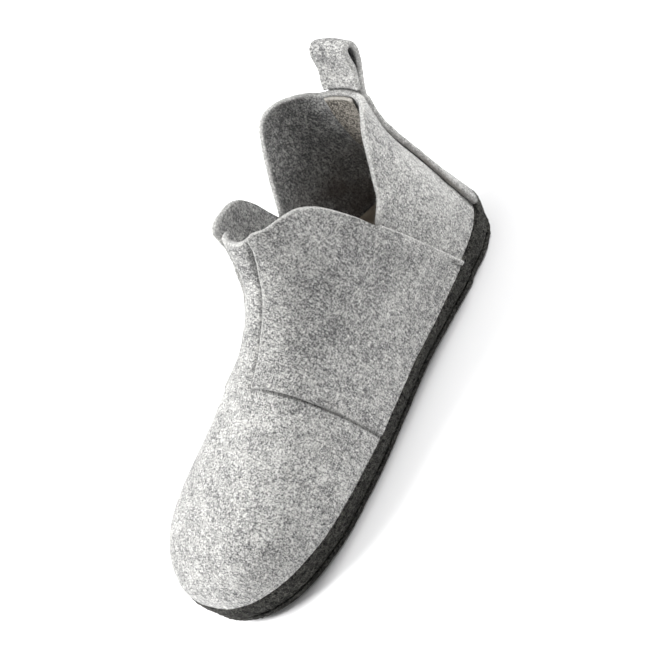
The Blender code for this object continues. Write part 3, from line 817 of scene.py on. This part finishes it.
def make_quarter(name, side, *nodes):
    """A quarter with painted shade along its seam, the outer one curled at its rear corner."""
    columns = np.unique(np.concatenate([
        fine_steps(REAR, SEAM, 84, reach=0.5), np.linspace(REAR, REAR + 1, 12)
    ]).round(6))
    rows = fine_steps(0, SIDE_ROWS, 56, reach=0.4)
    column, row = np.meshgrid(columns, rows)
    middle, normal = grid_place(side, column, row)
    high = standing(column, row)
    if side < 0:
        high = high - 1.3 * ease((column - FRONT - 2) / 4) * ease((row - 5) / 4)
    else:
        back, up = run_length(middle, 1), run_length(middle, 0)
        low_end = ease((CURL_HIGH - up) / CURL_HIGH)
        high = high + CURL_LIFT * low_end * np.exp(-((back / CURL_BACK) ** 4))
        groove = low_end * bell(back - 1.25 * CURL_BACK, GROOVE_WIDE)
        high = high - GROOVE_DEEP * groove
    seam = run_length(middle, 1, True) + 4 * ease((row - SIDE_ROWS + 0.7) / 0.7)
    # painted shade along the seam with the vamp, and in the groove in front of the outer quarter's
    # curl
    fold_shade = 0.45 * bell(seam, 0.55)
    if side > 0:
        fold_shade = np.maximum(fold_shade, 0.6 * groove)
    pale = 1 - 0.9 * bell(seam, 2.0)
    felt_sheet(
        name, middle, normal, high, high - FELT, cut_distance(middle), whole(middle), *nodes,
        fold_shade=fold_shade, pale=pale,
    )


# rows that the vamp runs under the quarter, how deep it sinks beside the fold and how far that
# and the fold's shade reach, in mm
LAP = 0.9
FOLD_SINK = 1.1
SINK_REACH = 2.2
FOLD_REACH = 1.15
# the part of the quarter's stand-off that its own edge hides, in the fold beside it
HIDDEN_SHARE = 0.62


def make_vamp():
    """The vamp and the strip over the instep, one piece that runs under both quarters."""
    columns = np.unique(np.concatenate([
        fine_steps(FRONT, SEAM, 40, True, False, 0.4), columns_between(SEAM, TIP, 5),
    ]).round(7))
    one = np.unique(np.concatenate([
        np.linspace(0, SIDE_ROWS - LAP, 40), np.linspace(SIDE_ROWS - LAP, ROWS, 24),
    ]).round(7))
    rows = np.concatenate([one, 2 * ROWS - one[-2::-1]])
    column, over = np.meshgrid(columns, rows)
    side = np.where(over <= ROWS, 1.0, -1.0)
    row = np.where(over <= ROWS, over, 2 * ROWS - over)
    middle, normal = grid_place(side, column, row)
    tip = ease((column - TIP + 1.2) / 1.2)[..., None]
    normal = unit(normal * (1 - tip) + np.array([1.0, -0.05, 0.0]) * tip)
    run = run_length(middle, 1)
    at_seam = run[:, np.abs(columns - SEAM).argmin()][:, None]
    seam = np.abs(run - at_seam)
    distance = np.where(row < SIDE_ROWS - LAP, seam + 0.15, run)
    over_run = run_length(middle, 0)
    lines = [np.abs(rows - at).argmin() for at in (SIDE_ROWS, 2 * ROWS - SIDE_ROWS)]
    front = np.minimum(*(np.abs(over_run - over_run[k]) for k in lines))
    front = front + 8 * ease((column - SEAM) / 0.4)
    low_seam = seam + 8 * ease((row - SIDE_ROWS - 0.1) / 0.4)
    hidden = HIDDEN_SHARE * standing(column, row) * np.where(side > 0, 1.0, 0.3)
    fold = np.clip(front - hidden, 0, None)
    # painted shade in the fold beside each quarter's front edge, and along the seam under it
    fold_shade = np.maximum(0.8 * bell(fold, FOLD_REACH), 0.5 * bell(low_seam, 0.6))
    here_c = (column[:-1, :-1] + column[1:, 1:]) / 2
    here_r = (row[:-1, :-1] + row[1:, 1:]) / 2
    mask = (here_c > SEAM) | (here_r > SIDE_ROWS - LAP)
    sunk = -FOLD_SINK * bell(fold, SINK_REACH)
    pale = np.where(row < SIDE_ROWS - LAP, 0.0, 1.0)
    felt_sheet(
        "vamp", middle, normal, sunk, sunk - FELT, distance, mask, fold_shade=fold_shade, pale=pale
    )


def make_heel_piece():
    """The piece round the heel; its edges lie inside both quarters."""
    one = columns_between(0, REAR + 0.5, 6)
    spread = np.concatenate([-one[:0:-1], one])
    rows = fine_steps(0, SIDE_ROWS, 56, reach=0.35)
    across_, row = np.meshgrid(spread, rows)
    side = np.where(across_ <= 0, 1.0, -1.0)
    column = np.abs(across_)
    row = row * (1 - 0.34 * np.clip(column - REAR + 0.05, 0, 2))
    middle, normal = grid_place(side, column, row)
    zero = np.zeros_like(column)
    felt_sheet(
        "heel_piece", middle, normal, zero, zero - FELT, cut_distance(middle), whole(middle)
    )


make_quarter("outer_quarter", 1, "upper")
make_quarter("inner_quarter", -1)
make_vamp()
make_heel_piece()


# Heel strip, lining, footbed and sole
def heel_spot(y, z):
    """(side, x, turn) of the heel's surface at distances from the middle and heights."""
    y, z = matched(y, z)
    side = np.where(y >= 0, 1.0, -1.0)
    low, high = np.zeros_like(y), np.full_like(y, 60.0)
    for _ in range(40):
        x = (low + high) / 2
        inside = np.abs(last_point(side, x, turn_at_height(x, z))[..., 1]) < np.abs(y)
        low, high = np.where(inside, x, low), np.where(inside, high, x)
    return side, x, turn_at_height(x, z)


def heel_face(y, z):
    """Points and outward normals of the heel's surface."""
    side, x, turn = heel_spot(y, z)
    normal = last_normal(side, np.maximum(x, 0.05), turn)
    even = normal.copy()
    even[..., 1] = 0
    away = np.clip(np.abs(y) / 3.0, 0, 1)[..., None]
    return last_point(side, x, turn), unit(unit(even) * (1 - away) + normal * away)


def smooth_path(rows, count):
    """A curve through rows of numbers, at even steps."""
    rows = np.array(rows, float)
    run = run_length(rows[:, :2], 0)
    at = np.linspace(0, run[-1], count)
    slopes = np.gradient(rows, run, axis=0)
    k = np.clip(np.searchsorted(run, at, side="right") - 1, 0, len(run) - 2)
    step = (run[k + 1] - run[k])[:, None]
    return curve(rows, slopes, k, step, ((at - run[k]) / step[:, 0])[:, None])


# how far up the loop's sewn end the seam's shade reaches, and the shade of the strip's foot
SEWN_REACH = 0.8
FOOT_REACH = 1.3
# points along the loop, passes that even out its bends, and the room that it leaves at its start
LOOP_POINTS = 120
LOOP_EVENING = 30
LOOP_START_ROOM = 0.8
# bow of the loop across its width
LOOP_BOW = 0.25
STRIP_HEIGHTS = 60


def loop_path(back, lower):
    """Middle line of the loop, as x, height and sag, from the strip's top point to its sewn end."""
    first = (lower[0], lower[2], 0.0)
    start = (back[0], back[2], LOOP[0][2])
    path = smooth_path([first, start, *LOOP, (*LOOP_END, LOOP[-1][2])], LOOP_POINTS)
    for _ in range(LOOP_EVENING):
        path[1:-1] = (path[:-2] + 2 * path[1:-1] + path[2:]) / 4
    clear = np.linalg.norm(path[:, :2] - np.array(start[:2]), axis=1) > LOOP_START_ROOM
    keep = np.nonzero(clear)[0]
    return path[keep[keep > 4]]


def loop_grid(path, share):
    """Points and normals of the loop's middle sheet."""
    run = unit(np.gradient(path[:, :2], axis=0))
    away = np.stack([-run[:, 1], run[:, 0]], -1)
    sag = path[:, 2:3] * share[None, :] ** 2
    bow = LOOP_BOW * np.cos(share[None, :] * 1.6 + 0.5)
    x = path[:, :1] + sag + away[:, :1] * bow
    y = np.broadcast_to(share * STRIP_WIDE, sag.shape)
    z = path[:, 1:2] + away[:, 1:2] * bow
    across = np.broadcast_to(away[:, None, :], (*sag.shape, 2))
    normal = np.stack([across[..., 0], np.zeros_like(sag), across[..., 1]], -1)
    return np.stack([x, y, z], -1), normal


def make_heel_strip():
    """The strip up the back of the heel and its pull loop, which ends on the collar's edge."""
    share = fine_steps(-1, 1, 30, reach=0.12)
    foot = float(table(SOLE_TOP, 0)) + STRIP_LIFT
    heights = np.linspace(foot, STRIP_TOP, STRIP_HEIGHTS)
    wider = ease((STRIP_WIDEN - heights) / STRIP_WIDEN_RUN)
    half = STRIP_WIDE + (STRIP_FOOT - STRIP_WIDE) * wider
    spot, strip_normal = heel_face(half[:, None] * share, heights[:, None])
    strip = spot + strip_normal * (GAP + FACET_ROOM + FELT / 2)
    centre = np.abs(share).argmin()
    loop, loop_normal = loop_grid(loop_path(strip[-1, centre], strip[-3, centre]), share)
    middle = np.concatenate([strip, loop])
    normal = np.concatenate([strip_normal, loop_normal])
    zero = np.zeros(middle.shape[:2])
    sewn, up = run_length(middle, 0, True), run_length(middle, 0)
    # painted shade where the loop is sewn down and at the strip's foot
    fold_shade = 0.85 * bell(sewn, SEWN_REACH) + 0.75 * bell(up, FOOT_REACH)
    pale = 1 - bell(sewn, 2 * SEWN_REACH)
    felt_sheet(
        "pull_strip", middle, normal, zero + FELT / 2, zero - FELT / 2, cut_distance(middle),
        whole(middle), "heel_strip", fold_shade=fold_shade, pale=pale,
    )


# how much wider the lining is at its top, height where that starts and how long it takes, the
# cloth's unevenness, and the bead along its top
LINING_SIDE_ROOM = 0.6
LINING_SPREAD = (90, 20)
LINING_WAVE = 0.3
LINING_BEAD = 0.35


def make_lining():
    """The lining at the back of the heel, turned in along its top."""
    share = fine_steps(-1, 1, 34, reach=0.1)
    heights = np.linspace(LINING_FOOT, LINING_TOP, 96)
    spread = ease((heights[:, None] - LINING_SPREAD[0]) / LINING_SPREAD[1])
    half_wide = LINING_HALF + LINING_SIDE_ROOM * spread
    spot, normal = heel_face(share[None, :] * half_wide, heights[:, None])
    level = -FELT - GAP - FACET_ROOM - LINING_THICK / 2
    below = LINING_TOP - heights[:, None]
    level = level + LINING_WAVE * wave(spot, 9, 61) * np.clip(below / 8, 0.1, 1)
    middle = spot + normal * level[..., None]
    along, up = np.gradient(middle, axis=1), np.gradient(middle, axis=0)
    way = unit(np.cross(along, up))
    if np.mean(way[..., 0]) < 0:
        way = -way
    half = LINING_THICK / 2 * (1 - 0.8 * np.abs(share[None, :]) ** 14)
    half = half + LINING_BEAD * bell(1.2 - below, 0.9)
    front, back = middle + way * half[..., None], middle - way * half[..., None]
    points = np.concatenate([front.reshape(-1, 3), back.reshape(-1, 3)])
    faces = sheet_faces(whole(middle))
    pale = np.zeros(middle.shape[:2])
    pale[-2:] = 1.0
    marks = {"edge": np.concatenate([pale.ravel()] * 2)}
    add_mesh("lining", points, faces, LINING, "heel_lining", "heel_lining", marks=marks)


def ring_faces(a, b, turns):
    """Quads between two rings of points that start at a and b."""
    index = np.arange(turns)
    after = (index + 1) % turns
    return np.stack([a + index, a + after, b + after, b + index], -1)


# rings between two rows of the footbed's table, points round each ring, x of its middle line's
# ends, and its unevenness
FOOTBED_STEPS = 6
FOOTBED_TURNS = 300
FOOTBED_SPINE = (35, 215)
FOOTBED_WAVE = 0.22


def make_footbed():
    """The footbed with its cupped rim, napped."""
    last_row = len(INSOLE_SIDE) - 1
    levels = np.linspace(0, last_row, last_row * FOOTBED_STEPS + 1)
    read = [(k, *row) for k, row in enumerate(INSOLE_SIDE)]
    rings = []
    for level in levels:
        floor_share, rim_share, step, lean_at = (float(table(read, level, k)) for k in (1, 2, 3, 4))
        ring = ring_of(
            lambda x: FELT + GAP + INSOLE_ROOM + step + edge_lift(x),
            float(table(HEEL_LEAN, lean_at)), FOOTBED_TURNS,
        )
        x = ring[:, 0]
        rings.append(np.column_stack([ring[:, 1:], footbed_height(x, floor_share, rim_share)]))
    edge = rings[-1]
    spine = np.clip(edge[:, 0], *FOOTBED_SPINE)
    for step in (0.1, 0.25, 0.45, 0.7, 1.0):
        flat = np.column_stack([
            edge[:, 0] * (1 - step) + spine * step,
            edge[:, 1] * (1 - step) + table(MIDDLE, spine) * step,
        ])
        rings.append(np.column_stack([flat, table(SOLE_TOP, flat[:, 0]) + INSOLE]))
    grid = np.stack(rings)
    grid[..., 2] += FOOTBED_WAVE * wave(grid, 12, 71)
    turns = grid.shape[1]
    # wound the other way than the sole's, to face into the shoe
    faces = [
        ring_faces(k * turns, (k + 1) * turns, turns)[:, [0, 3, 2, 1]]
        for k in range(len(rings) - 1)
    ]
    add_mesh("footbed", grid.reshape(-1, 3), np.concatenate(faces), FOOTBED, "footbed", "insole")


def ring_of(inset, shift, turns):
    """Smooth closed outline of the sole: (x, points) at even turns, moved in by inset(x)."""
    xs, flat = outline_dense(inset, shift)
    run = run_length(np.vstack([flat, flat[:1]]), 0)
    closed = np.vstack([np.column_stack([xs, flat]), [[xs[0], *flat[0]]]])
    at = np.linspace(0, run[-1], turns, endpoint=False)
    return np.column_stack([np.interp(at, run, closed[:, k]) for k in range(3)])


def outline_dense(inset, shift):
    """The sole's outline as many close points."""
    back = HEEL_CAP * (1 - np.cos(np.linspace(0, math.pi / 2, 60)))
    middle = np.linspace(HEEL_CAP, TOE_START, 90)[1:-1]
    front = TOE_START + (LAST - TOE_START) * np.sin(np.linspace(0, math.pi / 2, 80))
    xs = np.concatenate([back, middle, front])
    rings = []
    for side in (1, -1):
        wide = half_width(side, xs)
        y = table(MIDDLE, xs) + side * (wide + edge_lift(xs) * np.clip(wide, 0, 1))
        rings.append(np.stack([xs * STRETCH, y], -1))
    ring = np.concatenate([rings[0], rings[1][-2:0:-1]])
    places = ring[:, 0] / STRETCH
    tangent = unit(np.roll(ring, -1, 0) - np.roll(ring, 1, 0))
    inward = np.stack([tangent[:, 1], -tangent[:, 0]], -1)
    moved = ring + inward * np.reshape(inset(places), (-1, 1))
    moved[:, 0] += shift * ease(1 - places / HEEL_LEAN_REACH)
    return places, moved


# points round the sole, rings up its side, x of its middle line's ends, shares of the way to it
SOLE_TURNS = 760
SOLE_LEVELS = 22
SOLE_SPINE = (40, 225)
SPINE_BEND = ((40, 0), (140, 0), (225, -6))
CLOSING = (0.03, 0.08, 0.16, 0.3, 0.5, 0.75, 1.0)
# roughness of both blocks' sides and height of the pebbles under the sole, in mm
MIDSOLE_ROUGH = 0.42
OUTSOLE_ROUGH = 0.38
PEBBLES = 0.25


def sole_side(side_table, low, high, rough):
    """Rings up the side of a block of the sole, with its lumps and pits."""
    side_table = np.array(side_table, float)
    rings = []
    levels = np.linspace(0, 1, SOLE_LEVELS)
    for level in levels:
        undercut = np.interp(level, side_table[:, 0], side_table[:, 1])
        bulge = np.interp(level, side_table[:, 0], side_table[:, 2])
        ring = ring_of(
            lambda x: table(UNDERCUT, x) * undercut - bulge - SOLE_MARGIN, 0.0, SOLE_TURNS
        )
        x = ring[:, 0]
        rings.append(np.column_stack([ring[:, 1:], low(x) + (high(x) - low(x)) * level]))
    grid = np.stack(rings)
    out = np.roll(grid, -1, 1) - np.roll(grid, 1, 1)
    out = unit(np.stack([-out[..., 1], out[..., 0], np.zeros_like(out[..., 0])], -1))
    if np.mean(np.sum(out * (grid - grid.mean(axis=(0, 1))), -1)) < 0:
        out = -out
    bumps = 0.3 * wave(grid, 9, 31) + 0.5 * wave(grid, 3.4, 32) + 0.5 * wave(grid, 2.1, 34)
    bumps = rough * (bumps - 1.1 * ease(np.abs(wave(grid, 2.6, 33)) * 1.4 - 0.35))
    fade = np.clip(np.minimum(levels, 1 - levels) * 8 + 0.4, 0, 1)
    return grid + out * (bumps * fade[:, None] - 0.1 * rough)[..., None]


def closing_rings(edge, height, under):
    """Rings from a block's edge in to its middle line, pebbled where under is above 0."""
    spine_x = np.clip(edge[:, 0], *SOLE_SPINE)
    spine = np.column_stack([spine_x, np.interp(spine_x, *np.array(SPINE_BEND).T)])
    raised = edge[:, 2] - height(np.clip(edge[:, 0] / STRETCH, 0, LAST))
    rings = []
    for step in CLOSING:
        flat = edge[:, :2] * (1 - step) + spine * step
        x = np.clip(flat[:, 0] / STRETCH, 0, LAST)
        ring = np.column_stack([flat, height(x) + raised * (1 - step) ** 4])
        if under:
            ring[:, 2] += under * np.abs(wave(ring, 2.4, 35)) * min(1.0, step * 12)
        rings.append(ring)
    return rings


def sole_block(name, side_table, low, high, rough, made, slot_name, node, under):
    """A rough-sided block of the sole: rings up its side, then rings closing over both faces."""
    side = sole_side(side_table, low, high, rough)
    starts = np.arange(SOLE_LEVELS) * SOLE_TURNS
    faces = [ring_faces(a, b, SOLE_TURNS) for a, b in zip(starts[:-1], starts[1:])]
    points = [side.reshape(-1, 3)]
    total = SOLE_LEVELS * SOLE_TURNS
    foot, head = closing_rings(side[0], low, under), closing_rings(side[-1], high, 0.0)
    for last, rings, way in ((0, foot, -1), (total - SOLE_TURNS, head, 1)):
        for ring in rings:
            points.append(ring)
            faces.append(ring_faces(last, total, SOLE_TURNS)[:, ::way])
            last = total
            total += SOLE_TURNS
    add_mesh(
        name, np.concatenate(points), np.concatenate(faces), made, slot_name, node
    )


# shades of the loose fibres, and the share that each has
FIBRE_SHADES = (0.12, 0.45, 0.9)
FIBRE_PARTS = (0.3, 0.2, 0.5)
# longest fibre, half widths, depth of the root and gain at a cut edge, the first three in mm
FIBRE_LONGEST = 2.1
FIBRE_WIDE = (0.022, 0.04)
FIBRE_ROOT = 0.12
FIBRE_EDGE_GAIN = 6.0
# fibres on each felt piece, which is also the order that they are drawn in
FIBRES = (
    ("vamp", 42000), ("outer_quarter", 32000), ("inner_quarter", 28000), ("heel_piece", 26000),
    ("pull_strip", 11000),
)


def grow_fibres(name, source, count):
    """Loose fibres over one felt piece, thicker along its cut edges, as one mesh."""
    mesh = source.data
    points = np.empty(len(mesh.vertices) * 3)
    mesh.vertices.foreach_get("co", points)
    points = points.reshape(-1, 3) / MM
    edge = np.empty(len(mesh.vertices), np.float32)
    mesh.attributes["edge"].data.foreach_get("value", edge)
    corners = np.empty(len(mesh.loops), np.int32)
    mesh.loops.foreach_get("vertex_index", corners)
    corners = corners.reshape(-1, 4)
    a, b, c, d = (points[corners[:, k]] for k in range(4))
    cross = np.cross(c - a, d - b)
    area = np.linalg.norm(cross, axis=1) / 2
    weight = area * (1 + FIBRE_EDGE_GAIN * edge[corners].mean(axis=1))
    pick = RANDOM.choice(len(corners), count, p=weight / weight.sum())
    u, v = RANDOM.random((2, count, 1))
    root = (a[pick] * (1 - u) + b[pick] * u) * (1 - v) + (d[pick] * (1 - u) + c[pick] * u) * v
    normal = unit(cross[pick])
    upright = normal * RANDOM.uniform(0.15, 0.9, (count, 1))
    way = unit(upright + 0.75 * unit(RANDOM.normal(size=(count, 3))))
    under = np.sum(way * normal, axis=1, keepdims=True)
    way = unit(way + normal * np.clip(0.12 - under, 0, None))
    bend = unit(way + 0.75 * unit(RANDOM.normal(size=(count, 3))))
    length = FIBRE_LONGEST * RANDOM.uniform(0.3, 1.0, (count, 1)) ** 1.5
    side = unit(np.cross(way, RANDOM.normal(size=(count, 3))))
    side = side * RANDOM.uniform(*FIBRE_WIDE, (count, 1))
    root = root - normal * FIBRE_ROOT
    knee = root + way * length * 0.5
    tip = knee + bend * length * 0.5
    grown = np.stack([root - side, root + side, knee + side * 0.8, knee - side * 0.8, tip], 1)
    base = np.arange(count)[:, None] * 5
    quads = (base + np.array([0, 1, 2, 3])).tolist()
    ends = (base + np.array([3, 2, 4])).tolist()
    shade = RANDOM.choice(FIBRE_SHADES, count, p=FIBRE_PARTS) + RANDOM.normal(0, 0.08, count)
    marks = {"shade": np.repeat(np.clip(shade, 0, 1), 5)}
    link_mesh(name, grown.reshape(-1, 3) * MM, quads + ends, FIBRE, marks=marks)


make_heel_strip()
make_lining()
make_footbed()
for piece, count in FIBRES:
    grow_fibres(piece + "_fibres", bpy.data.objects[piece], count)
sole_block(
    "midsole_edge", MIDSOLE_SIDE, midsole_foot, midsole_top, MIDSOLE_ROUGH, MIDSOLE,
    "midsole_rubber", "midsole", 0.0,
)
sole_block(
    "tread", OUTSOLE_SIDE, underside, outsole_top, OUTSOLE_ROUGH, OUTSOLE_MADE,
    "outsole_rubber", "outsole", PEBBLES,
)


# Floor, light and camera
def make_floor():
    """The pale floor, as stage and not part."""
    mesh = bpy.data.meshes.new("floor")
    half = 3.0
    mesh.from_pydata([(-half, -half, 0), (half, -half, 0), (half, half, 0), (-half, half, 0)], [],
                     [(0, 1, 2, 3)])
    floor = bpy.data.objects.new("floor", mesh)
    bpy.context.scene.collection.objects.link(floor)
    made = bpy.data.materials.new("pale_floor")
    made.use_nodes = True
    shader = made.node_tree.nodes["Principled BSDF"]
    shader.inputs["Base Color"].default_value = (0.93, 0.93, 0.935, 1)
    shader.inputs["Roughness"].default_value = 0.7
    mesh.materials.append(made)


def add_light(name, place, aim, side, power):
    """A square soft light in metres and watts."""
    data = bpy.data.lights.new(name, "AREA")
    data.size = side
    data.energy = power
    lamp = bpy.data.objects.new(name, data)
    bpy.context.scene.collection.objects.link(lamp)
    lamp.location = place
    way = Vector(aim) - Vector(place)
    lamp.rotation_euler = way.to_track_quat("-Z", "Y").to_euler()


WORLD_STRENGTH = 0.52
LIGHT_SIDE = 0.7
KEY_WATTS = 45
REAR_WATTS = 21


def make_light():
    """A white world, a key light off the toe and a weaker one off the heel."""
    bpy.context.scene.view_settings.view_transform = "Standard"
    world = bpy.data.worlds.new("studio")
    bpy.context.scene.world = world
    world.use_nodes = True
    back = world.node_tree.nodes["Background"]
    back.inputs["Color"].default_value = (1, 1, 1, 1)
    back.inputs["Strength"].default_value = WORLD_STRENGTH
    add_light("key", (0.85, -0.85, 1.0), (0, 0, 0.05), LIGHT_SIDE, KEY_WATTS)
    add_light("rear", (-1.1, 0.35, 1.0), (0, 0, 0.06), LIGHT_SIDE, REAR_WATTS)


# The photo's camera as found from the shoe's own lines, in the part's frame
CAMERA_PLACE = np.array([0.35328, 1.01220, 0.80210])
PHOTO_RIGHT = np.array([-0.4489, 0.6794, -0.5805])
PHOTO_DOWN = np.array([0.8389, 0.0965, -0.5357])
PHOTO_AHEAD = np.array([-0.3079, -0.7274, -0.6132])
PHOTO_SIDE_PX = 665.0
FOCAL_PX = 2520.0
# how far the shoe's middle is to the right of the photo's
SHOE_RIGHT_PX = -151.0
SENSOR_MM = 36.0


def make_camera():
    """The photo's camera turned on the spot until the one shoe is in the middle."""
    ahead = unit(PHOTO_AHEAD * FOCAL_PX + PHOTO_RIGHT * SHOE_RIGHT_PX)
    right = unit(np.cross(PHOTO_DOWN, ahead))
    down = np.cross(ahead, right)
    data = bpy.data.cameras.new("camera")
    data.sensor_width = SENSOR_MM
    data.lens = FOCAL_PX / PHOTO_SIDE_PX * SENSOR_MM
    camera = bpy.data.objects.new("camera", data)
    bpy.context.scene.collection.objects.link(camera)
    turn = Matrix((right, -down, -ahead)).transposed()
    camera.matrix_world = Matrix.Translation(Vector(CAMERA_PLACE)) @ turn.to_4x4()
    bpy.context.scene.camera = camera


make_floor()
make_light()
make_camera()
